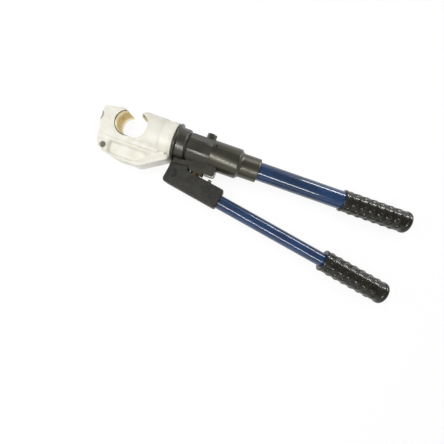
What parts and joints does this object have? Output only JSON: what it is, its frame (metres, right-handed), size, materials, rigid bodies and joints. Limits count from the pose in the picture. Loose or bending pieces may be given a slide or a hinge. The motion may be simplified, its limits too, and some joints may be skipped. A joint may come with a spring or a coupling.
{
  "type": "hydraulic crimping tool",
  "caption": "Hand-pumped hydraulic crimping tool with a C-shaped swivelling jaw, a ram that closes on round half dies, a fixed handle that holds the oil and a pump lever.",
  "frame": {"origin": "centre of the anvil's round die seat, in the middle of the jaw's thickness", "axes": "+X along the ram from the jaw to the handles, +Y away from the lever, +Z out of the side"},
  "size_m": [0.5291, 0.1717, 0.064],
  "materials": {
    "satin_nickel": "satin",
    "black_enamel": "satin",
    "bare_steel": "satin",
    "brass": "satin",
    "navy_enamel": "gloss",
    "grip_rubber": "satin",
    "seal_rubber": "matte"
  },
  "bodies": {
    "pump": {"pump_body": "black_enamel", "nose_seal": "seal_rubber", "swivel_washer": "brass", "swivel_collar": "black_enamel", "spring_anchor_pin": "bare_steel", "valve_balls": "bare_steel", "valve_springs": "bare_steel", "valve_plugs": "brass", "relief_valve_cap": "black_enamel", "plunger_bush": "brass", "plunger_seal": "seal_rubber", "release_valve_gland": "bare_steel", "release_valve_spring": "bare_steel", "handle_socket": "black_enamel", "socket_lock_screw": "bare_steel", "fixed_handle_tube": "navy_enamel", "fixed_handle_grip": "grip_rubber", "oil_bladder": "seal_rubber", "bladder_clamp": "bare_steel", "fixed_tube_plug": "seal_rubber", "pivot_pin": "bare_steel", "pivot_circlips": "bare_steel"},
    "head": {"crimp_head": "satin_nickel", "ram_wiper": "seal_rubber", "swivel_screws": "bare_steel"},
    "die_button": {"die_release_button": "satin_nickel", "die_button_spring": "bare_steel"},
    "ram": {"ram": "satin_nickel", "ram_seal": "seal_rubber", "ram_spring_pin": "bare_steel", "ram_return_spring": "bare_steel"},
    "lever": {"lever_bracket": "black_enamel", "lever_bushes": "brass", "drive_pin": "bare_steel", "drive_roller": "bare_steel", "handle_retaining_screw": "bare_steel"},
    "plunger": {"pump_plunger": "bare_steel", "plunger_yoke": "brass", "yoke_dowel": "bare_steel"},
    "moving_handle": {"release_finger": "bare_steel", "moving_handle_tube": "navy_enamel", "moving_handle_grip": "grip_rubber", "moving_tube_plug": "seal_rubber"},
    "release_stem": {"release_valve_stem": "bare_steel"}
  },
  "joints": [
    {"name": "head_swivel", "type": "hinge", "parent": "pump", "child": "head", "pos_m": [0.072, 0, 0], "axis": [1, 0, 0], "range_deg": [-90, 90]},
    {"name": "ram_slide", "type": "slide", "parent": "head", "child": "ram", "axis": [-1, 0, 0], "range_m": [0, 0.0158], "stiffness_N_per_m": 400, "deforming": ["ram_return_spring"]},
    {"name": "die_button_slide", "type": "slide", "parent": "head", "child": "die_button", "axis": [1, 0, 0], "range_m": [0, 0.0025], "stiffness_N_per_m": 300, "deforming": ["die_button_spring"]},
    {"name": "lever_hinge", "type": "hinge", "parent": "pump", "child": "lever", "pos_m": [0.092, -0.0507, 0], "axis": [0, 0, 1], "range_deg": [-32, 3.5]},
    {"name": "plunger_slide", "type": "slide", "parent": "pump", "child": "plunger", "axis": [0, 1, 0], "range_m": [-0.0195, 0.0023]},
    {"name": "handle_twist", "type": "hinge", "parent": "lever", "child": "moving_handle", "pos_m": [0.09143, -0.05395, 0], "axis": [0.9848, -0.1736, 0], "range_deg": [0, 22]},
    {"name": "release_stem_slide", "type": "slide", "parent": "pump", "child": "release_stem", "axis": [0, 1, 0], "range_m": [0, 0.002], "stiffness_N_per_m": 500, "deforming": ["release_valve_spring"]}
  ],
  "couplings": [
    {"joint": "plunger_slide", "follows": "lever_hinge", "m_per_rad": 0.0342}
  ]
}
